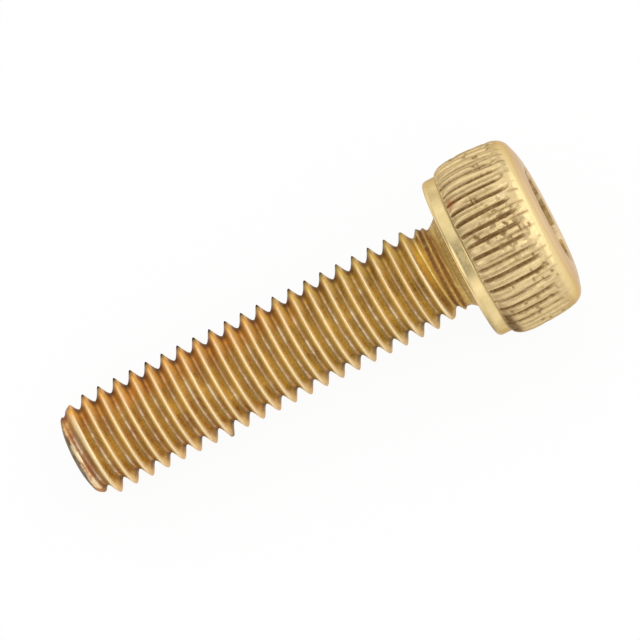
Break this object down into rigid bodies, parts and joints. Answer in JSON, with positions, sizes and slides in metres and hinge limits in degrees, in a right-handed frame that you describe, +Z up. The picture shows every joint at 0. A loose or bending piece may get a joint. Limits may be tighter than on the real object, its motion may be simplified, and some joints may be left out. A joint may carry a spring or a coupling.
{
  "type": "socket head cap screw",
  "caption": "Knurled cylinder head cap screw with a hex socket and a fully threaded shank, one piece of brass, lying at rest.",
  "frame": {"origin": "centre of the bearing face, where the underside of the head meets the axis of the shank", "axes": "the screw lies at rest on a level surface: its axis runs from the tip at -X to the head at +X and rises 5.78 degrees on the way, +Z is up"},
  "size_m": [0.015, 0.0054, 0.0055],
  "materials": {
    "brass": "bright as rolled, paler on the head, warm in the thread"
  },
  "bodies": {
    "root": {"cap_screw": "brass"}
  },
  "joints": []
}
